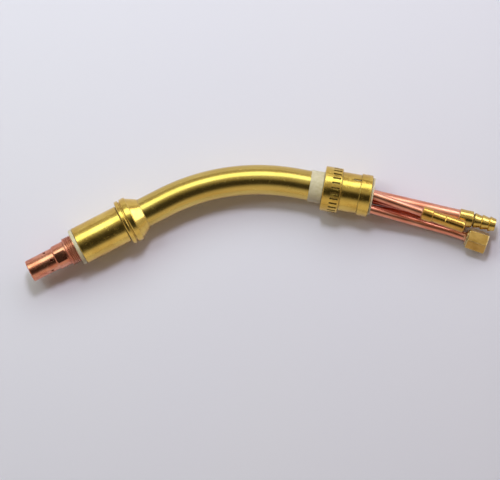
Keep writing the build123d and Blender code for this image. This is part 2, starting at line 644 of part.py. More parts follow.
def plug(frame, collar_od, body_od, bore):
    """Turned plug: a collar with the pipe's socket, a plain body and a rounded nose."""
    socket = PIPE_OD + 2 * SLIP
    nose_od = body_od + 2 * PLUG_NOSE_STEP
    body_end = PLUG_COLLAR_LENGTH + PLUG_BODY_LENGTH
    nose_end = PLUG_LENGTH
    body = turned(
        (socket / 2, 0), (collar_od / 2 - EDGE, 0), (collar_od / 2, EDGE),
        (collar_od / 2, PLUG_COLLAR_LENGTH - EDGE), (collar_od / 2 - EDGE, PLUG_COLLAR_LENGTH),
        (body_od / 2, PLUG_COLLAR_LENGTH), (body_od / 2, body_end), (nose_od / 2, body_end + EDGE),
        (nose_od / 2, nose_end), (bore / 2, nose_end), (bore / 2, SOCKET_DEPTH), (socket / 2, SOCKET_DEPTH),
    )
    return frame * fillet(rims(body, nose_od, nose_end), NOSE_ROUND)


def feed_nipple():
    return plug(FEED_FRAME, FEED_COLLAR_OD, FEED_BODY_OD, FEED_BORE)


def gas_nipple():
    return plug(GAS_FRAME, GAS_COLLAR_OD, GAS_BODY_OD, GAS_BORE)


def power_coupling():
    end = COUPLING_LENGTH
    hex_at = COUPLING_SHOULDER_LENGTH
    body = hexagon(COUPLING_FLATS, hex_at, end - hex_at, COUPLING_TURN)
    body += drill(COUPLING_FLATS - 2 * COUPLING_SHOULDER_STEP, 0, hex_at + 1)
    body -= drill(PIPE_OD + 2 * SLIP, 0, SOCKET_DEPTH)
    body -= drill(PIPE_BORE, 0, end)
    thread_bottom = end - COUPLING_THREAD_DEPTH
    point = COUPLING_THREAD_BORE / 2 / math.tan(math.radians(DRILL_POINT / 2))
    body -= turned(
        (0, thread_bottom - point), (COUPLING_THREAD_BORE / 2, thread_bottom),
        (COUPLING_THREAD_BORE / 2, end), (0, end),
    )
    return COUPLING_FRAME * body


PIECES = {
    "tip_holder": tip_holder,
    "head_core": head_core,
    "water_jacket": water_jacket,
    "front_insulator": front_insulator,
    "nozzle_barrel": nozzle_barrel,
    "neck_adapter": neck_adapter,
    "neck_tube": neck_tube,
    "tube_liner": tube_liner,
    "rear_sleeve": rear_sleeve,
    "clamp_collar": clamp_collar,
    "pipe_spacer_front": pipe_spacer_front,
    "pipe_spacer_rear": pipe_spacer_rear,
    "wire_conduit": wire_conduit,
    "water_feed_pipe": water_feed_pipe,
    "gas_pipe": gas_pipe,
    "power_pipe": power_pipe,
    "conduit_barb": conduit_barb,
    "feed_nipple": feed_nipple,
    "gas_nipple": gas_nipple,
    "power_coupling": power_coupling,
}

os.makedirs("parts", exist_ok=True)
for name, build in PIECES.items():
    shape = Rot(X=REST_ROLL) * build()
    solids = shape.solids()
    shape = solids[0] if len(solids) == 1 else Compound(children=list(solids))
    export_step(shape, f"parts/{name}.step")
    print(f"{name}: {len(solids)} solid, {shape.volume:.1f} mm3")
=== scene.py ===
# %% [markdown]
# # A water-cooled welding torch neck
# This script gives a finished look to a neck that was modelled as exact solids. The solids arrive as a
# fixed frame, in metres, with the neck lying on a pale sheet. Nothing here moves them. What is added is
# what a turner and a brazer leave behind: fine threads, fillets of braze and the marks of each process.

# %% Load the frame
import json
import math

import bmesh
import bpy
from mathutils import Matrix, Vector, geometry, noise


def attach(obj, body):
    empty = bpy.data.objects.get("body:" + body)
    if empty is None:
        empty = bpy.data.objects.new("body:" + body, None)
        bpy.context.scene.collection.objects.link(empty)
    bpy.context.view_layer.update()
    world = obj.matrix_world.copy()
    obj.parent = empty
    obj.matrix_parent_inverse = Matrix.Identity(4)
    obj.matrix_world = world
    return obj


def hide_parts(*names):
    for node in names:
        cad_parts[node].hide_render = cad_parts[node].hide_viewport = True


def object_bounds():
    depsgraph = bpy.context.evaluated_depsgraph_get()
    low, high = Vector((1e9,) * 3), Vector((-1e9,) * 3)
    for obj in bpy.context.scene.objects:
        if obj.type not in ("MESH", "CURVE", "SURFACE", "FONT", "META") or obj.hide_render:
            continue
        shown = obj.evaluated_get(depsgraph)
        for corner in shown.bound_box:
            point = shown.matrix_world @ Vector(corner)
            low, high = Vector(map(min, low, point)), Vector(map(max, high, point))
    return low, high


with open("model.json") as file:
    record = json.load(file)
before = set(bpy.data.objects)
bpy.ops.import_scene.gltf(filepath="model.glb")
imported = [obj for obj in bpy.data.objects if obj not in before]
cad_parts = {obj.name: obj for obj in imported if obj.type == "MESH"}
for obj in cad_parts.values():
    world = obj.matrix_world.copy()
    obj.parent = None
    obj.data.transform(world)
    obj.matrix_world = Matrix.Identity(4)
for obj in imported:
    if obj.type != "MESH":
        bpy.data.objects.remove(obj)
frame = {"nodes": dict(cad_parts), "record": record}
cad_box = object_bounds()
MM = 0.001
print(f"{len(frame['nodes'])} solids in a box from {cad_box[0]} to {cad_box[1]}")

# %% [markdown]
# ## Where things are
# The record that comes with the solids names the places where other parts are fastened. Each has a
# point, an axis, a radius and a length, which is all that a thread or a turning mark needs to know.
# Reading them there keeps this script in step with the solids, which numbers typed in here would not.

# %% Read the mounts
MOUNTS = {mount["name"]: mount for mount in frame["record"]["mounts"]}


def place_of(name):
    """Point, axis, radius and length of a mount, in metres."""
    mount = MOUNTS[name]
    point, axis = Vector(mount["pos_m"]), Vector(mount["axis"]).normalized()
    return point, axis, mount["dims"].get("r_mm", 0) * MM, mount["dims"].get("length_mm", 0) * MM


HEAD_POINT, HEAD_AXIS = place_of("nozzle_seat")[:2]
COLLAR_POINT, COLLAR_AXIS = place_of("collar_band")[:2]
FEED_POINT, FEED_AXIS = place_of("feed_spigot")[:2]
GAS_POINT, GAS_AXIS = place_of("gas_spigot")[:2]
POWER_POINT, POWER_AXIS = place_of("power_thread")[:2]
BARB_POINT, BARB_AXIS = place_of("conduit_barb_seat")[:2]
BEND_ANGLE = HEAD_AXIS.angle(-COLLAR_AXIS)
print(f"the head leans {math.degrees(BEND_ANGLE):.1f} degrees from the collar's axis")

# %% [markdown]
# ## The camera
# The photograph looks straight down on the sheet, turned a little so that the collar's axis falls to
# the right. A long lens from far away keeps the tube's width the same from end to end, as it is there.

# %% Set up the camera
PHOTO_WIDTH, PHOTO_HEIGHT = 500, 480
PIXELS_PER_MM = 1.875
COLLAR_PIXEL = (349.6, 192.7)
PHOTO_TURN = math.radians(10)
CAMERA_HEIGHT = 1.6
SENSOR_WIDTH = 36
FAR_CLIP = 20

RIGHT = Vector((math.cos(PHOTO_TURN), math.sin(PHOTO_TURN), 0))
UP = Vector((-math.sin(PHOTO_TURN), math.cos(PHOTO_TURN), 0))
across = (PHOTO_WIDTH / 2 - COLLAR_PIXEL[0]) / PIXELS_PER_MM * MM
down = (PHOTO_HEIGHT / 2 - COLLAR_PIXEL[1]) / PIXELS_PER_MM * MM
view_centre = RIGHT * across - UP * down

camera_data = bpy.data.cameras.new("camera")
camera_data.sensor_width = SENSOR_WIDTH
camera_data.lens = SENSOR_WIDTH * CAMERA_HEIGHT / (PHOTO_WIDTH / PIXELS_PER_MM * MM)
camera_data.clip_end = FAR_CLIP
camera = bpy.data.objects.new("camera", camera_data)
camera.location = view_centre + Vector((0, 0, CAMERA_HEIGHT))
camera.rotation_euler = (0, 0, PHOTO_TURN)
bpy.context.scene.collection.objects.link(camera)
bpy.context.scene.camera = camera
bpy.context.scene.view_settings.view_transform = "Standard"
print(f"lens of {camera_data.lens:.0f} mm, {CAMERA_HEIGHT} m above the collar's axis")

# %% [markdown]
# ## Colours and nodes
# Colours are written as they are seen, as hex values, and turned to the linear values that a renderer
# adds up. One small function makes every shader node, so a material reads as a list of what it does.

# %% Colour helper


def colour(hex_value):
    """Linear RGBA of a hex colour."""
    shown = [int(hex_value[start:start + 2], 16) / 255 for start in (1, 3, 5)]
    return [part / 12.92 if part <= 0.04045 else ((part + 0.055) / 1.055) ** 2.4 for part in shown] + [1]


print(f"half grey is {colour('#808080')[0]:.3f} in linear light")

# %% Node helpers


def add(tree, kind, values=None, links=None):
    """New node with its settings or socket values, and its links from other sockets."""
    node = tree.nodes.new(kind)
    for name, value in (values or {}).items():
        if isinstance(name, str) and hasattr(node, name):
            setattr(node, name, value)
        else:
            node.inputs[name].default_value = value
    for name, source in (links or {}).items():
        tree.links.new(source, node.inputs[name])
    return node


def blank_material(name):
    """Empty node material, its tree and its output node."""
    material = bpy.data.materials.new(name)
    material.use_nodes = True
    tree = material.node_tree
    tree.nodes.clear()
    print(f"material {name}")
    return material, tree, tree.nodes.new("ShaderNodeOutputMaterial")


def finish_node(node, material):
    """Gives a CAD node its material."""
    frame["nodes"][node].material_slots[0].material = material


# %% [markdown]
# ## Tool marks
# A lathe tool leaves rings round the axis, a fraction of a millimetre apart. A drawing die leaves
# streaks along it. An image of either would need the surface laid out flat and would blur close up, so
# both are noise that is squeezed in one direction. A Mapping node turns object space until its X runs
# along the part, and the noise is laid in that space.

# %% Space along an axis
print(f"patterns are laid in millimetres, {1 / MM:.0f} to one unit of the frame")


def along_axis(tree, point, axis):
    """Object coordinates turned so that X runs along the axis, in millimetres from the point."""
    turn = Vector(axis).to_track_quat("X", "Z").inverted()
    place = -(turn @ Vector(point)) / MM
    coords = add(tree, "ShaderNodeTexCoord")
    return add(tree, "ShaderNodeMapping", {
        "vector_type": "POINT", "Location": place, "Rotation": turn.to_euler(), "Scale": [1 / MM] * 3,
    }, {"Vector": coords.outputs["Object"]}).outputs["Vector"]


# %% [markdown]
# ## Streaks round the bend
# The tube was drawn straight and bent afterwards, so its streaks follow the bend. Straight noise would
# cross them as sandy specks. The bend is an arc, so its angle times its radius is the way along the tube,
# and the distance from its centre is the way across. The centre lies where the two axes' bisector says.

# %% Space along the bend
TUBE_BEND_RADIUS = 110 * MM
meeting_point, _ = geometry.intersect_line_line(
    COLLAR_POINT, COLLAR_POINT - COLLAR_AXIS, HEAD_POINT, HEAD_POINT - HEAD_AXIS)
inwards = (COLLAR_AXIS + HEAD_AXIS).normalized()
BEND_CENTRE = meeting_point + inwards * TUBE_BEND_RADIUS / math.cos(BEND_ANGLE / 2)
print(f"the tube bends round a point at {BEND_CENTRE.x / MM:.1f}, {BEND_CENTRE.y / MM:.1f} mm")


def along_bend(tree):
    """Object coordinates with the bend rolled out: X along the arc and Y across it, in millimetres."""
    coords = add(tree, "ShaderNodeTexCoord")
    middle = add(tree, "ShaderNodeMapping", {
        "vector_type": "POINT", "Location": -BEND_CENTRE / MM, "Scale": [1 / MM] * 3,
    }, {"Vector": coords.outputs["Object"]})
    parts = add(tree, "ShaderNodeSeparateXYZ", links={"Vector": middle.outputs["Vector"]})
    bearing = add(tree, "ShaderNodeMath", {"operation": "ARCTAN2"}, {
        0: parts.outputs["X"], 1: parts.outputs["Y"]})
    arc = add(tree, "ShaderNodeMath", {"operation": "MULTIPLY", 1: TUBE_BEND_RADIUS / MM}, {
        0: bearing.outputs["Value"]})
    flat = add(tree, "ShaderNodeVectorMath", {"operation": "MULTIPLY", 1: (1, 1, 0)}, {
        0: middle.outputs["Vector"]})
    out = add(tree, "ShaderNodeVectorMath", {"operation": "LENGTH"}, {0: flat.outputs["Vector"]})
    return add(tree, "ShaderNodeCombineXYZ", links={
        "X": arc.outputs["Value"], "Y": out.outputs["Value"], "Z": parts.outputs["Z"]}).outputs["Vector"]


# %% Noise laid in a space
FINER_SHARE = 0.55
print(f"each finer layer of the noise is {FINER_SHARE} times as strong as the one before")


def grain(tree, space, sizes, detail=2.0, contrast=(0.3, 0.7)):
    """Noise from 0 to 1 whose grains have these sizes in millimetres along and across the axis."""
    scaled = add(tree, "ShaderNodeVectorMath", {
        "operation": "MULTIPLY", 1: [1 / size for size in sizes]}, {0: space})
    speckle = add(tree, "ShaderNodeTexNoise", {
        "Scale": 1.0, "Detail": detail, "Roughness": FINER_SHARE}, {"Vector": scaled.outputs["Vector"]})
    return add(tree, "ShaderNodeMapRange", {
        "interpolation_type": "SMOOTHSTEP", "From Min": contrast[0], "From Max": contrast[1],
    }, {"Value": speckle.outputs["Fac"]}).outputs["Result"]


# %% [markdown]
# ## Wear and painted shade
# Handling rubs the edges of a metal part clean. Recesses are painted darker with a thin brown coat, which
# is painted shade that stands for the shade falling in them. Both could be painted by hand. Here the
# shape itself says where they are: a bevelled normal differs from the flat one only near an edge, and
# ambient occlusion is dark only in a recess.

# %% Recesses and edges
RECESS_SAMPLES = 8
EDGE_SAMPLES = 6
# How well the two normals agree where wear begins, and where it is complete
EDGE_AGREEMENT = (0.99, 0.9)
wear_angle = math.degrees(math.acos(EDGE_AGREEMENT[0]))
print(f"wear begins where the bevelled normal turns by {wear_angle:.0f} degrees")


def recess(tree, reach, closed, opened, most, own=True):
    """From 0 in the open to most in a closed corner. reach is in millimetres, closed and opened are the
    occlusion at either end, and own leaves the other pieces out."""
    hollow = add(tree, "ShaderNodeAmbientOcclusion", {
        "Distance": reach * MM, "samples": RECESS_SAMPLES, "only_local": own})
    return add(tree, "ShaderNodeMapRange", {
        "From Min": closed, "From Max": opened, "To Min": most, "To Max": 0.0,
    }, {"Value": hollow.outputs["AO"]}).outputs["Result"]


def worn_edge(tree, width):
    """Normal that is rounded over each edge, and from 0 to 1 how much of an edge a point is."""
    rounded = add(tree, "ShaderNodeBevel", {"samples": EDGE_SAMPLES, "Radius": width * MM})
    flat = add(tree, "ShaderNodeNewGeometry")
    agree = add(tree, "ShaderNodeVectorMath", {"operation": "DOT_PRODUCT"}, {
        0: rounded.outputs["Normal"], 1: flat.outputs["Normal"]})
    worn = add(tree, "ShaderNodeMapRange", {
        "From Min": EDGE_AGREEMENT[0], "From Max": EDGE_AGREEMENT[1]}, {"Value": agree.outputs["Value"]})
    return rounded.outputs["Normal"], worn.outputs["Result"]


# %% Flats left by an end mill
MILLED_SOFT_EDGE = 0.15
MILLED_ROUGHNESS = 0.42
print(f"a flat reaches its full dullness {MILLED_SOFT_EDGE} mm inside the round")


def milled_roughness(tree, space, rough, radius):
    """Adds roughness where the metal is nearer to the axis than the radius, in millimetres."""
    crosswise = add(tree, "ShaderNodeVectorMath", {"operation": "MULTIPLY", 1: (0, 1, 1)}, {0: space})
    length = add(tree, "ShaderNodeVectorMath", {"operation": "LENGTH"}, {
        0: crosswise.outputs["Vector"]})
    dull = add(tree, "ShaderNodeMapRange", {
        "From Min": radius, "From Max": radius - MILLED_SOFT_EDGE, "To Max": MILLED_ROUGHNESS,
    }, {"Value": length.outputs["Value"]})
    return add(tree, "ShaderNodeMath", {"operation": "ADD"}, {
        0: rough.outputs["Value"], 1: dull.outputs["Result"]})


# %% [markdown]
# ## Metal
# Brass and copper are metals, so their colour is in the reflection and there is nothing beneath it.
# One flat colour would look like paint, so a clean and a tarnished tint are mixed in broad patches.
# What tells a turned face from a drawn tube is the roughness and the direction of the marks.

# %% Metal material
# The recess tint and roughness give each recess painted shade, as a dark brown, dull coat.
RECESS_SHADE_TINT = "#37230c"
RECESS_REACH = 1.2
RECESS_RANGE = (0.42, 0.85)
SMUDGE_SIZES = (3.1, 2.3, 2.7)
SMUDGE_CONTRAST = (0.45, 0.75)
EDGE_POLISH = -0.08
RECESS_SHADE_ROUGHNESS = 0.3
MARK_STRENGTH = 0.35
print(f"oil is looked for within {RECESS_REACH} mm, and smudges are about {SMUDGE_SIZES[0]} mm long")


# Fine tool marks are often under 0.05 mm apart. All marks are drawn coarser here, or none would show.
def metal(name, line, tints, marks, patch, roughness, mark_depth, recess_shade, edge=0.12, smear=0.08,
          milled=None, wear_and_highlight_tint=None):
    """Metal with marks along a line, which is a point and an axis, or None for the tube's bend.
    tints are its clean and its tarnished colour, and wear_and_highlight_tint is that of an edge: the clean
    tint when it is not given, which is wear, and a paler one is a painted highlight. marks and patch are the
    sizes of its tool marks and tarnish along and across the line, edge is how far wear reaches, and flats
    lie nearer to the line than milled, all in millimetres. grime is the most painted shade that a recess
    gets, as a dark brown dull coat, and smear is the most roughness that a smudge adds."""
    material, tree, output = blank_material(name)
    space = along_axis(tree, *line) if line else along_bend(tree)
    fine = grain(tree, space, marks)
    broad = grain(tree, space, patch, detail=4.0)
    smudge = grain(tree, space, SMUDGE_SIZES, detail=5.0, contrast=SMUDGE_CONTRAST)
    # Ambient occlusion paints shade into each recess, as a dark brown dull coat.
    painted_recess_shade = recess(tree, RECESS_REACH, RECESS_RANGE[0], RECESS_RANGE[1], recess_shade)
    rounded, worn = worn_edge(tree, edge)

    body = add(tree, "ShaderNodeMix", {
        "data_type": "RGBA", 6: colour(tints[0]), 7: colour(tints[1])}, {0: broad})
    # Edges turn to the clean tint, which is wear; a paler edge tint, as on the coupling, is a painted
    # highlight.
    wear_and_highlight = add(tree, "ShaderNodeMix", {
        "data_type": "RGBA", 7: colour(wear_and_highlight_tint or tints[0])}, {0: worn, 6: body.outputs[2]})
    tint = add(tree, "ShaderNodeMix", {"data_type": "RGBA", 7: colour(RECESS_SHADE_TINT)}, {
        0: painted_recess_shade, 6: wear_and_highlight.outputs[2]})
    bare = add(tree, "ShaderNodeMath", {"operation": "SUBTRACT", 0: 1.0}, {1: painted_recess_shade})

    smeared = add(tree, "ShaderNodeMath", {"operation": "MULTIPLY_ADD", 1: smear, 2: roughness}, {
        0: smudge})
    rough = add(tree, "ShaderNodeMath", {"operation": "MULTIPLY_ADD", 1: EDGE_POLISH}, {
        0: worn, 2: smeared.outputs["Value"]})
    if milled:
        rough = milled_roughness(tree, space, rough, milled)
    rougher = add(tree, "ShaderNodeMath", {
        "operation": "MULTIPLY_ADD", 1: RECESS_SHADE_ROUGHNESS, "use_clamp": True,
    }, {0: painted_recess_shade, 2: rough.outputs["Value"]})

    bump = add(tree, "ShaderNodeBump", {"Strength": MARK_STRENGTH, "Distance": mark_depth * MM}, {
        "Height": fine, "Normal": rounded})
    shader = add(tree, "ShaderNodeBsdfPrincipled", links={
        "Base Color": tint.outputs[2], "Metallic": bare.outputs["Value"],
        "Roughness": rougher.outputs["Value"], "Normal": bump.outputs["Normal"]})
    tree.links.new(shader.outputs["BSDF"], output.inputs["Surface"])
    return material


# %% [markdown]
# ## Turned brass
# The nozzle seat, the adapter behind it and the collar are turned from free-cutting brass. It is a
# bright yellow metal that keeps fine tool rings, which stretch each highlight a little along the part.
# One material could serve them all, but the rings have to run round each piece's own axis, so the head
# and the collar have one each. The collar is handled most, so its smears are stronger.

# %% Turned brass of the head: bright yellow with a clean highlight, for its rings are shallow
turned_brass_head = metal(
    "turned_brass_head", (HEAD_POINT, HEAD_AXIS), ("#edcc6e", "#d8b157"),
    marks=(0.12, 9, 9), patch=(14, 9, 9), roughness=0.22, mark_depth=0.003, recess_shade=0.85)
finish_node("nozzle_barrel", turned_brass_head)
finish_node("neck_adapter", turned_brass_head)

# %% Turned brass of the collar: rings that show, and finger smears that break the highlight
turned_brass_collar = metal(
    "turned_brass_collar", (COLLAR_POINT, COLLAR_AXIS), ("#e6c465", "#cfa84f"),
    marks=(0.16, 7, 7), patch=(9, 6, 6), roughness=0.2, mark_depth=0.008, recess_shade=0.9, smear=0.14)
finish_node("clamp_collar", turned_brass_collar)

# %% [markdown]
# ## Brass fittings
# The barb and the two plugs are small turned pieces. Each stands at its own angle, so each has its own
# material, laid along its axis. The plugs are tinted browner than the barb, as heat leaves brass.

# %% Turned brass of the fittings: small bright highlights, browner where the heat has reached
BARB_TINTS = ("#e4c26a", "#cba655")
PLUG_TINTS = ("#dcae5a", "#c08e44")
FITTINGS = {
    "conduit_barb": (BARB_POINT, BARB_AXIS, BARB_TINTS),
    "feed_nipple": (FEED_POINT, FEED_AXIS, PLUG_TINTS),
    "gas_nipple": (GAS_POINT, GAS_AXIS, PLUG_TINTS),
}
for node, (point, axis, tints) in FITTINGS.items():
    finish_node(node, metal(
        f"turned_brass_{node}", (point, axis), tints,
        marks=(0.14, 5, 5), patch=(6, 4, 4), roughness=0.22, mark_depth=0.006, recess_shade=0.85))

# %% [markdown]
# ## Drawn brass and copper
# The bent tube and the pipes are drawn through a die, so their marks run lengthwise. A drawn surface
# has no rings to catch the light, and its highlight is one smooth stripe from end to end. The pipes fan
# out, so one direction would be wrong for most of them, and each is laid along its fitting's axis.

# %% Drawn brass of the tube: one long stripe of light with fine streaks beside it
finish_node("neck_tube", metal(
    "drawn_brass_tube", None, ("#dcbf69", "#ccab58"),
    marks=(40, 0.4, 0.4), patch=(30, 5, 5), roughness=0.24, mark_depth=0.003, recess_shade=0.8, smear=0.04))

# %% Drawn copper of the pipes: pink and satin, with soft streaks along each pipe
PIPES = {
    "wire_conduit": BARB_AXIS, "water_feed_pipe": FEED_AXIS, "gas_pipe": GAS_AXIS, "power_pipe": POWER_AXIS,
}
for node, axis in PIPES.items():
    finish_node(node, metal(
        f"drawn_copper_{node}", (COLLAR_POINT, axis), ("#eda68b", "#d6836a"),
        marks=(30, 0.35, 0.35), patch=(12, 3, 3), roughness=0.29, mark_depth=0.004, recess_shade=0.8))

# %% [markdown]
# ## Copper of the head
# The tip holder and the core behind it are turned from copper bar, which is redder and softer than the
# brass. Two spanner flats are milled on the tip holder. An end mill leaves them duller than the round
# parts, and they are found by their distance from the axis, for the flats lie inside the round.

# %% Turned and milled copper: warm red, with crisp rings on the round parts and dull flats
COPPER_TINTS = ("#e6a083", "#cf7d62")
FLATS_RADIUS = 5.9
copper_finish = dict(
    marks=(0.12, 6, 6), patch=(6, 5, 5), roughness=0.24, mark_depth=0.008, recess_shade=0.85)
turned_copper = metal("turned_copper_head", (HEAD_POINT, HEAD_AXIS), COPPER_TINTS, **copper_finish)
milled_copper = metal(
    "milled_copper_tip_holder", (HEAD_POINT, HEAD_AXIS), COPPER_TINTS, milled=FLATS_RADIUS, **copper_finish)
finish_node("tip_holder", milled_copper)
finish_node("head_core", turned_copper)
finish_node("water_jacket", turned_copper)

# %% [markdown]
# ## The hexagon
# The power coupling is cut from drawn hexagon bar, so its streaks run lengthwise too. It is the dullest
# brass on the neck. Spanners have worn its corners smoother, and they are painted nearly white, which is
# a painted highlight along each edge. The corners could be bevelled in the mesh, but a bevelled normal
# catches the light in the same way and leaves the solid as it is.

# %% Milled brass of the coupling: flat brown-gold faces between corners with a painted highlight
# The pale corner tint is a painted highlight along each edge.
milled_brass = metal(
    "milled_brass_coupling", (POWER_POINT, POWER_AXIS), ("#c9a25c", "#a87f3d"),
    marks=(18, 0.3, 0.3), patch=(7, 5, 5), roughness=0.32, mark_depth=0.010, recess_shade=0.7,
    edge=0.75, wear_and_highlight_tint="#fff0bc")
finish_node("power_coupling", milled_brass)

# %% [markdown]
# ## Threads
# A solid model states a thread by its plain diameter. A bump in the material would shade it, but would
# leave the outline and the exported mesh plain, so the thread is cut into a copy. The wall is cut across
# every eighth of a pitch, and each point is moved by where it lies on the helix. Points that are one
# turn apart are one pitch apart, which is what makes it a thread and not a stack of rings.

# %% Cut the wall across
CUTS_PER_PITCH = 8
MERGE_DISTANCE = 1e-6
SLIVER_WIDTH = 2e-6
print(f"a threaded wall is cut across {CUTS_PER_PITCH} times in each pitch")


def cut_wall(shape, axis_point, axis, start, length, pitch):
    """Cuts a mesh across, every small part of a pitch, so that it has points to move."""
    bmesh.ops.remove_doubles(shape, verts=shape.verts, dist=MERGE_DISTANCE)
    for step in range(round(length / pitch * CUTS_PER_PITCH) + 1):
        everything = shape.verts[:] + shape.edges[:] + shape.faces[:]
        cut = axis_point + axis * (start + step * pitch / CUTS_PER_PITCH)
        bmesh.ops.bisect_plane(shape, geom=everything, plane_co=cut, plane_no=axis)
    bmesh.ops.dissolve_degenerate(shape, edges=shape.edges, dist=SLIVER_WIDTH)


# %% Wind the thread
WALL_TOLERANCE = 0.03 * MM
print(f"a point is on the wall if it is within {WALL_TOLERANCE / MM:.2f} mm of it")


def wind_thread(shape, axis_point, axis, start, length, radius, pitch, depth):
    """Moves the wall's points on to a helix, which fades out at both ends. Gives the moved points."""
    side = axis.orthogonal().normalized()
    crosswise = axis.cross(side)
    run_out = pitch / 2
    moved = set()
    for vert in shape.verts:
        station = (vert.co - axis_point).dot(axis)
        outward = vert.co - axis_point - axis * station
        along = station - start
        if abs(outward.length - radius) > WALL_TOLERANCE or not 0 <= along <= length:
            continue
        turn = math.atan2(outward.dot(crosswise), outward.dot(side)) / (2 * math.pi)
        wave = 0.5 - 0.5 * math.cos(2 * math.pi * (station / pitch - turn))
        fade = min(1, along / run_out, (length - along) / run_out)
        vert.co -= outward.normalized() * depth * wave * fade
        moved.add(vert)
    return moved


# %% Make the threaded copy
SMOOTH_ANGLE = math.radians(28)
print(f"edges under {math.degrees(SMOOTH_ANGLE):.0f} degrees are shaded smooth")


def cut_thread(node, axis_point, axis, start, length, radius, pitch, depth, material):
    """Copy of a CAD node with a right-hand thread in a round wall. A negative depth goes outwards."""
    shape = bmesh.new()
    shape.from_mesh(frame["nodes"][node].data)
    cut_wall(shape, axis_point, axis, start, length, pitch)
    moved = wind_thread(shape, axis_point, axis, start, length, radius, pitch, depth)
    for face in shape.faces:
        face.smooth = True
    for edge in shape.edges:
        edge.smooth = moved.issuperset(edge.verts) or edge.calc_face_angle(0) < SMOOTH_ANGLE
    mesh = bpy.data.meshes.new(node + "_threaded")
    shape.to_mesh(mesh)
    shape.free()
    if "custom_normal" in mesh.attributes:
        mesh.attributes.remove(mesh.attributes["custom_normal"])
    mesh.materials.clear()
    mesh.materials.append(material)
    piece = bpy.data.objects.new(node + "_threaded", mesh)
    bpy.context.scene.collection.objects.link(piece)
    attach(piece, "root")
    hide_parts(node)
    print(f"{piece.name}: {len(moved)} points on the thread, {len(mesh.polygons)} faces")


# %% The outer thread in front of the cream ring
FRONT_PITCH = 1.0 * MM
FRONT_DEPTH = 0.5 * MM
front_point, front_axis, front_radius, front_length = place_of("front_thread")
cut_thread("head_core", front_point, -front_axis, -front_length / 2, front_length, front_radius,
           FRONT_PITCH, FRONT_DEPTH, turned_copper)

# %% The two inner threads, which start a little way in from each end of their hole
INNER_PITCH = 1.25 * MM
INNER_DEPTH = 0.6 * MM
PLAIN_END = 0.3 * MM
tip_point, tip_axis, tip_radius, tip_length = place_of("tip_thread")
cut_thread("tip_holder", tip_point, -tip_axis, PLAIN_END, tip_length - 2 * PLAIN_END, tip_radius,
           INNER_PITCH, -INNER_DEPTH, milled_copper)
power_point, power_axis, power_radius, power_length = place_of("power_thread")
cut_thread("power_coupling", power_point, -power_axis, PLAIN_END, power_length - 2 * PLAIN_END,
           power_radius, INNER_PITCH, -INNER_DEPTH, milled_brass)

# %% [markdown]
# ## Braze
# Each pipe is joined to its fitting with silver braze. It creeps round the joint and sets as a small
# hollow fillet, a little uneven and never polished. A plain ring would look laid on, so a hollow outline
# is spun round the pipe and its skin is moved by noise.

# %% Silver braze: satin and lumpy, tinted by the metal that it has run over
# 1400 lumps in a metre make each about 0.7 mm wide
LUMPS_PER_METRE = 1400.0
LUMP_DEPTH = 0.03 * MM


def braze(name, tints):
    """Braze as it set, in small lumps of two tints."""
    material, tree, output = blank_material(name)
    coords = add(tree, "ShaderNodeTexCoord")
    lumps = add(tree, "ShaderNodeTexNoise", {"Scale": LUMPS_PER_METRE, "Detail": 3.0}, {
        "Vector": coords.outputs["Object"]})
    bump = add(tree, "ShaderNodeBump", {"Strength": 0.5, "Distance": LUMP_DEPTH}, {
        "Height": lumps.outputs["Fac"]})
    tint = add(tree, "ShaderNodeMix", {
        "data_type": "RGBA", 6: colour(tints[0]), 7: colour(tints[1])}, {0: lumps.outputs["Fac"]})
    shader = add(tree, "ShaderNodeBsdfPrincipled", {"Metallic": 1.0, "Roughness": 0.34}, {
        "Base Color": tint.outputs[2], "Normal": bump.outputs["Normal"]})
    tree.links.new(shader.outputs["BSDF"], output.inputs["Surface"])
    return material


braze_on_copper = braze("silver_braze_on_copper", ("#e8b496", "#c88a66"))
braze_on_brass = braze("silver_braze_on_brass", ("#dcc078", "#bd9a52"))

# %% Spin a hollow ring
SUNK_IN_PIPE = 0.03 * MM
SUNK_IN_FACE = 0.05 * MM
HOLLOW_STEPS = 6
FILLET_SIDES = 64
WELD_DISTANCE = 1e-7
print(f"a fillet has {FILLET_SIDES} sides and is sunk {SUNK_IN_FACE / MM:.2f} mm in its fitting")


def spin_fillet(corner, axis, inner, width, height):
    """Closed ring with a hollow outer side, spun round the pipe."""
    side = axis.orthogonal().normalized()
    outline = [(inner - SUNK_IN_PIPE, -SUNK_IN_FACE), (inner + width, -SUNK_IN_FACE)]
    for step in range(HOLLOW_STEPS + 1):
        bend = math.radians(90 * step / HOLLOW_STEPS)
        outline.append((inner + width * (1 - math.sin(bend)), height * (1 - math.cos(bend))))
    outline.append((inner - SUNK_IN_PIPE, height))
    shape = bmesh.new()
    verts = [shape.verts.new(corner + side * out + axis * back) for out, back in outline]
    edges = [shape.edges.new(pair) for pair in zip(verts, verts[1:] + verts[:1])]
    bmesh.ops.spin(
        shape, geom=verts + edges, cent=corner, axis=axis, angle=2 * math.pi, steps=FILLET_SIDES,
        use_merge=True)
    bmesh.ops.remove_doubles(shape, verts=shape.verts, dist=WELD_DISTANCE)
    bmesh.ops.recalc_face_normals(shape, faces=shape.faces)
    return shape


# %% Make it uneven
LUMP_SPACING = 0.9 * MM
LUMP_HEIGHT = 0.09 * MM
FILLET_SHARP_ANGLE = math.radians(50)
print(f"the fillets' lumps are up to about {LUMP_HEIGHT / MM:.2f} mm high")


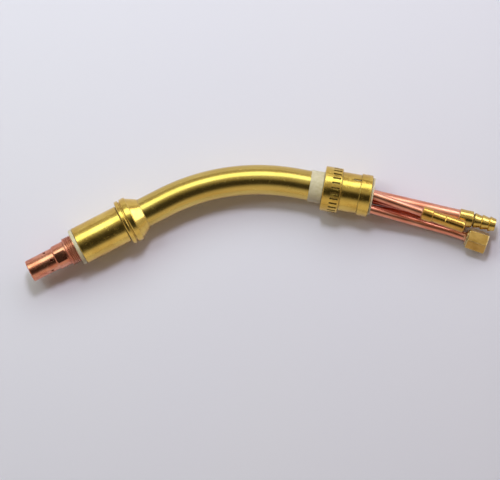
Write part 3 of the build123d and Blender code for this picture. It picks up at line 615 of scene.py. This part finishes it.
def braze_fillet(name, corner, outward_axis, inner, width, height, material):
    """Uneven hollow fillet round a pipe. The corner is on the pipe's axis, in the fitting's face."""
    axis = Vector(outward_axis).normalized()
    shape = spin_fillet(corner, axis, inner, width, height)
    for vert in shape.verts:
        station = (vert.co - corner).dot(axis)
        outward = vert.co - corner - axis * station
        if station > 0 and outward.length > inner:
            uneven = noise.noise(vert.co / LUMP_SPACING)
            vert.co += (outward.normalized() + axis) * uneven * LUMP_HEIGHT
    mesh = bpy.data.meshes.new(name)
    shape.to_mesh(mesh)
    shape.free()
    mesh.polygons.foreach_set("use_smooth", [True] * len(mesh.polygons))
    mesh.set_sharp_from_angle(angle=FILLET_SHARP_ANGLE)
    mesh.materials.append(material)
    piece = bpy.data.objects.new(name, mesh)
    bpy.context.scene.collection.objects.link(piece)
    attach(piece, "root")
    print(f"{name}: {len(mesh.polygons)} faces")


# %% The five fillets
# Each joint lies behind the point of a mount. That point is the middle of a plug's nose and of the
# nozzle seat, but it is the open end of the coupling and of the barb.
SMALL_PIPE_RADIUS = 2.25 * MM
CONDUIT_RADIUS = 3.8 * MM
TUBE_RADIUS = 8.0 * MM
NOSE_TO_JOINT = 17.9 * MM
COUPLING_LENGTH = 11.6 * MM
BARB_LENGTH = 19.7 * MM
SEAT_TO_CONE_END = 25.05 * MM
feed_joint = FEED_POINT - FEED_AXIS * NOSE_TO_JOINT
gas_joint = GAS_POINT - GAS_AXIS * NOSE_TO_JOINT
power_joint = POWER_POINT - POWER_AXIS * COUPLING_LENGTH
barb_joint = BARB_POINT - BARB_AXIS * BARB_LENGTH
tube_joint = HEAD_POINT - HEAD_AXIS * SEAT_TO_CONE_END

# Name, joint, direction out of the fitting, radius of the pipe, width and height in mm, and material
FILLETS = (
    ("braze_feed", feed_joint, -FEED_AXIS, SMALL_PIPE_RADIUS, 0.8, 0.7, braze_on_copper),
    ("braze_gas", gas_joint, -GAS_AXIS, SMALL_PIPE_RADIUS, 0.35, 0.5, braze_on_copper),
    ("braze_power", power_joint, -POWER_AXIS, SMALL_PIPE_RADIUS, 1.5, 1.5, braze_on_copper),
    ("braze_conduit", barb_joint, -BARB_AXIS, CONDUIT_RADIUS, 0.45, 0.6, braze_on_copper),
    ("braze_tube", tube_joint, -HEAD_AXIS, TUBE_RADIUS, 0.4, 0.5, braze_on_brass),
)
for name, joint, axis, pipe_radius, width, height, material in FILLETS:
    braze_fillet(name, joint, axis, pipe_radius, width * MM, height * MM, material)

# %% [markdown]
# ## Insulators
# The cream ring and sleeve are turned from a glass-filled plastic rod. It is dull, a little translucent
# at its edges, and its tool rings show only faintly. Plain white paint would look chalky, so a little
# light goes into the plastic. Painted shade darkens it to a dark brown in its corners and where other
# pieces come near.

# %% Plastic material
# The dark tint is painted shade, laid on by ambient occlusion from every piece nearby.
PLASTIC_SHADE_TINT = "#4b3c26"
PLASTIC_REACH = 0.8
PLASTIC_RANGE = (0.5, 0.92)
PLASTIC_SHADE = 0.95
PLASTIC_RINGS = (0.18, 8, 8)
PLASTIC_MOTTLE = (2.2, 1.6, 1.6)
RING_DEPTH = 0.01 * MM
print(f"dirt on plastic is looked for within {PLASTIC_REACH} mm")


def plastic(name, point, axis, tints, roughness):
    """Plastic with soft rings, a faint mottle of two tints, and painted shade where other pieces come near.
    """
    material, tree, output = blank_material(name)
    space = along_axis(tree, point, axis)
    rings = grain(tree, space, PLASTIC_RINGS)
    mottle = grain(tree, space, PLASTIC_MOTTLE, detail=5.0)
    bump = add(tree, "ShaderNodeBump", {"Strength": 0.3, "Distance": RING_DEPTH}, {"Height": rings})
    # Painted shade: darker brown near other pieces.
    shade = recess(tree, PLASTIC_REACH, PLASTIC_RANGE[0], PLASTIC_RANGE[1], PLASTIC_SHADE, own=False)
    body = add(tree, "ShaderNodeMix", {
        "data_type": "RGBA", 6: colour(tints[0]), 7: colour(tints[1])}, {0: mottle})
    tint = add(tree, "ShaderNodeMix", {"data_type": "RGBA", 7: colour(PLASTIC_SHADE_TINT)}, {
        0: shade, 6: body.outputs[2]})
    shader = add(tree, "ShaderNodeBsdfPrincipled", {
        "Roughness": roughness, "IOR": 1.5, "Subsurface Weight": 0.06,
        "Subsurface Radius": (0.8, 0.7, 0.5), "Subsurface Scale": 1.0 * MM,
    }, {"Base Color": tint.outputs[2], "Normal": bump.outputs["Normal"]})
    tree.links.new(shader.outputs["BSDF"], output.inputs["Surface"])
    return material


# %% Turned cream plastic: soft and warm, with a faint waxy edge
CREAM_TINTS = ("#cfc4a9", "#c2b694")
finish_node("front_insulator", plastic(
    "turned_cream_plastic_front", HEAD_POINT, HEAD_AXIS, CREAM_TINTS, roughness=0.42))
finish_node("rear_sleeve", plastic(
    "turned_cream_plastic_rear", COLLAR_POINT, COLLAR_AXIS, CREAM_TINTS, roughness=0.42))

# %% Moulded white plastic: whiter and a little duller, for the liner and spacers that lie inside
white_plastic = plastic(
    "moulded_white_plastic", COLLAR_POINT, COLLAR_AXIS, ("#e8e6df", "#dcd9d0"), roughness=0.45)
for node in ("tube_liner", "pipe_spacer_front", "pipe_spacer_rear"):
    finish_node(node, white_plastic)

# %% [markdown]
# ## The sheet
# The neck lies on a sheet of pale card. The card itself takes the shadow. Far from the neck it fades to
# one even tone, so that no edge of it shows from a low angle. Only what the camera sees fades, and the
# light that the card throws back on the metal stays as it is.

# %% Lay the card down
FLOOR_SIZE = 3.0
floor_centre = (view_centre.x, view_centre.y, cad_box[0].z)

floor_mesh = bpy.data.meshes.new("floor")
floor_shape = bmesh.new()
bmesh.ops.create_grid(floor_shape, x_segments=1, y_segments=1, size=FLOOR_SIZE / 2)
bmesh.ops.translate(floor_shape, verts=floor_shape.verts, vec=floor_centre)
floor_shape.to_mesh(floor_mesh)
floor_shape.free()
floor = bpy.data.objects.new("floor", floor_mesh)
bpy.context.scene.collection.objects.link(floor)
print(f"card of {FLOOR_SIZE} m at {cad_box[0].z / MM:.1f} mm")

# %% Matt card: a soft even tone that keeps each shadow's edge
BACKGROUND = "#dedcdf"
CARD_TINTS = ("#e6e3f0", "#e4e1f1")
# 9 clouds in a metre make each about 110 mm wide
CLOUDS_PER_METRE = 9.0
FADE_START, FADE_END = 0.2, 0.5
floor_material, tree, output = blank_material("matt_card_floor")
coords = add(tree, "ShaderNodeTexCoord")
cloud = add(tree, "ShaderNodeTexNoise", {"Scale": CLOUDS_PER_METRE, "Detail": 1.0}, {
    "Vector": coords.outputs["Object"]})
card_tint = add(tree, "ShaderNodeMix", {
    "data_type": "RGBA", 6: colour(CARD_TINTS[0]), 7: colour(CARD_TINTS[1])}, {0: cloud.outputs["Fac"]})
shader = add(tree, "ShaderNodeBsdfPrincipled", {"Roughness": 0.75}, {"Base Color": card_tint.outputs[2]})
from_neck = add(tree, "ShaderNodeVectorMath", {"operation": "DISTANCE", 1: floor_centre}, {
    0: coords.outputs["Object"]})
far = add(tree, "ShaderNodeMapRange", {
    "interpolation_type": "SMOOTHSTEP", "From Min": FADE_START, "From Max": FADE_END,
}, {"Value": from_neck.outputs["Value"]})
sight = add(tree, "ShaderNodeLightPath")
faded = add(tree, "ShaderNodeMath", {"operation": "MULTIPLY"}, {
    0: far.outputs["Result"], 1: sight.outputs["Is Camera Ray"]})
haze = add(tree, "ShaderNodeEmission", {"Color": colour(BACKGROUND), "Strength": 1.0})
surface = add(tree, "ShaderNodeMixShader", links={
    0: faded.outputs["Value"], 1: shader.outputs["BSDF"], 2: haze.outputs["Emission"]})
tree.links.new(surface.outputs["Shader"], output.inputs["Surface"])
floor_mesh.materials.append(floor_material)
print(f"the card fades from {FADE_START} to {FADE_END} m away")

# %% [markdown]
# ## The room
# Polished brass shows its surroundings more than itself. A room with a lighter wall near the bottom of
# the picture and a dark stretch of ceiling almost overhead puts the dark band beside each highlight.
# A picture of a real room could do this too, but a few directions are enough and can be tuned. The room
# is seen only in reflections: matt surfaces take a plain warm light, and the camera sees one pale tone.
# Its directions come from the frame, so that the reflections stay when the camera moves.

# %% Levels of the room
ROOM_LEVEL, ROOM_TINT = 0.46, (1, 0.94, 0.84)
WALL_LEVEL, WALL_TINT = 0.68, (1, 0.9, 0.78)
DARK_LEVEL, DARK_TINT = 0.03, (1, 0.9, 0.7)
AMBIENT = (0.19, 0.15, 0.1, 1)
WALL_START, WALL_END = math.radians(-40), math.radians(-62)
DARK_TILT = math.radians(-15.5)
DARK_HALF = math.radians(23)
DARK_SOFT = math.radians(9)
DARK_SLANT = 0.5
DARK_SIDE_END, DARK_SIDE_START = 0.75, 0.4


def level(amount, tint):
    """RGBA of a tint at a level of light."""
    return [amount * part for part in tint] + [1]


print(f"the wall is {WALL_LEVEL / ROOM_LEVEL:.2f} times as bright as the rest of the room")

# %% Directions of the room
world = bpy.data.worlds.new("room")
world.use_nodes = True
bpy.context.scene.world = world
tree = world.node_tree
tree.nodes.clear()
direction = add(tree, "ShaderNodeTexCoord").outputs["Generated"]
height = add(tree, "ShaderNodeVectorMath", {"operation": "DOT_PRODUCT", 1: (0, 0, 1)}, {0: direction})
upward = add(tree, "ShaderNodeVectorMath", {"operation": "DOT_PRODUCT", 1: UP}, {0: direction})
sideways = add(tree, "ShaderNodeVectorMath", {"operation": "DOT_PRODUCT", 1: RIGHT}, {0: direction})
tilt = add(tree, "ShaderNodeMath", {"operation": "ARCTAN2"}, {
    0: upward.outputs["Value"], 1: height.outputs["Value"]})
print(f"the picture's top lies along {UP.x:.2f}, {UP.y:.2f} in the frame")

# %% The dark ceiling, a slanted band that ends on both sides
slanted = add(tree, "ShaderNodeMath", {"operation": "MULTIPLY_ADD", 1: DARK_SLANT}, {
    0: sideways.outputs["Value"], 2: tilt.outputs["Value"]})
offset = add(tree, "ShaderNodeMath", {"operation": "SUBTRACT", 1: DARK_TILT}, {
    0: slanted.outputs["Value"]})
distance = add(tree, "ShaderNodeMath", {"operation": "ABSOLUTE"}, {0: offset.outputs["Value"]})
band = add(tree, "ShaderNodeMapRange", {
    "interpolation_type": "SMOOTHSTEP", "From Min": DARK_HALF + DARK_SOFT, "From Max": DARK_HALF - DARK_SOFT,
}, {"Value": distance.outputs["Value"]})
side = add(tree, "ShaderNodeMath", {"operation": "ABSOLUTE"}, {0: sideways.outputs["Value"]})
reach = add(tree, "ShaderNodeMapRange", {
    "interpolation_type": "SMOOTHSTEP", "From Min": DARK_SIDE_END, "From Max": DARK_SIDE_START,
}, {"Value": side.outputs["Value"]})
dark = add(tree, "ShaderNodeMath", {"operation": "MULTIPLY"}, {
    0: band.outputs["Result"], 1: reach.outputs["Result"]})
print(f"the dark ceiling spans {2 * math.degrees(DARK_HALF):.0f} degrees")

# %% Put the room together
near_wall = add(tree, "ShaderNodeMapRange", {
    "interpolation_type": "SMOOTHSTEP", "From Min": WALL_START, "From Max": WALL_END,
}, {"Value": tilt.outputs["Value"]})
walls = add(tree, "ShaderNodeMix", {
    "data_type": "RGBA", 6: level(ROOM_LEVEL, ROOM_TINT), 7: level(WALL_LEVEL, WALL_TINT),
}, {0: near_wall.outputs["Result"]})
room = add(tree, "ShaderNodeMix", {"data_type": "RGBA", 7: level(DARK_LEVEL, DARK_TINT)}, {
    0: dark.outputs["Value"], 6: walls.outputs[2]})
sight = add(tree, "ShaderNodeLightPath")
lit = add(tree, "ShaderNodeMix", {"data_type": "RGBA", 6: AMBIENT}, {
    0: sight.outputs["Is Glossy Ray"], 7: room.outputs[2]})
seen = add(tree, "ShaderNodeMix", {"data_type": "RGBA", 7: colour(BACKGROUND)}, {
    0: sight.outputs["Is Camera Ray"], 6: lit.outputs[2]})
background = add(tree, "ShaderNodeBackground", {"Strength": 1.0}, {"Color": seen.outputs[2]})
world_output = add(tree, "ShaderNodeOutputWorld")
tree.links.new(background.outputs["Background"], world_output.inputs["Surface"])
print(f"the room is made of {len(tree.nodes)} nodes")

# %% [markdown]
# ## The lamps
# A wide window beyond the top of the picture is the highlight along each round part. A narrow one at
# the side is the pale patch on the cone and the bright lines on the copper pipes, and is only reflected.
# The sky and the two ceiling lamps only light the matt surfaces, and the small lamps give the shadow
# its edge. In the brass they would show as hard spots, so they aren't reflected.

# %% Lamps


def lamp(name, bearing, from_zenith, distance, size, radiance, tint, reflected=True, lights=True):
    """Soft rectangular lamp that faces the neck. bearing turns it from the picture's top, in degrees."""
    around, lean = math.radians(bearing), math.radians(from_zenith)
    level_part = UP * math.cos(around) + RIGHT * math.sin(around)
    aim = level_part * math.sin(lean) + Vector((0, 0, math.cos(lean)))
    light = bpy.data.lights.new(name, "AREA")
    light.shape = "RECTANGLE"
    light.size, light.size_y = size
    light.energy = 4 * radiance * size[0] * size[1]
    light.color = colour(tint)[:3]
    light_object = bpy.data.objects.new(name, light)
    light_object.location = view_centre + aim * distance
    light_object.rotation_euler = aim.to_track_quat("Z", "Y").to_euler()
    light_object.visible_glossy = reflected
    light_object.visible_diffuse = lights
    bpy.context.scene.collection.objects.link(light_object)
    print(f"{name}: {light.energy:.1f} W")


lamp("window", -30, 46, 0.9, (1.4, 0.48), 1.7, "#e8ffec")
lamp("sky", 20, 48, 0.9, (1.2, 0.5), 0.85, "#fdf2ff", reflected=False)
lamp("side_window", 47, 64, 0.9, (0.9, 0.34), 3.0, "#f4f8ff", lights=False)
lamp("ceiling_lamp", -4, 30, 1.2, (0.18, 0.18), 38, "#f0f4ff", reflected=False)
lamp("second_lamp", -62, 34, 1.2, (0.16, 0.16), 11, "#f0f4ff", reflected=False)
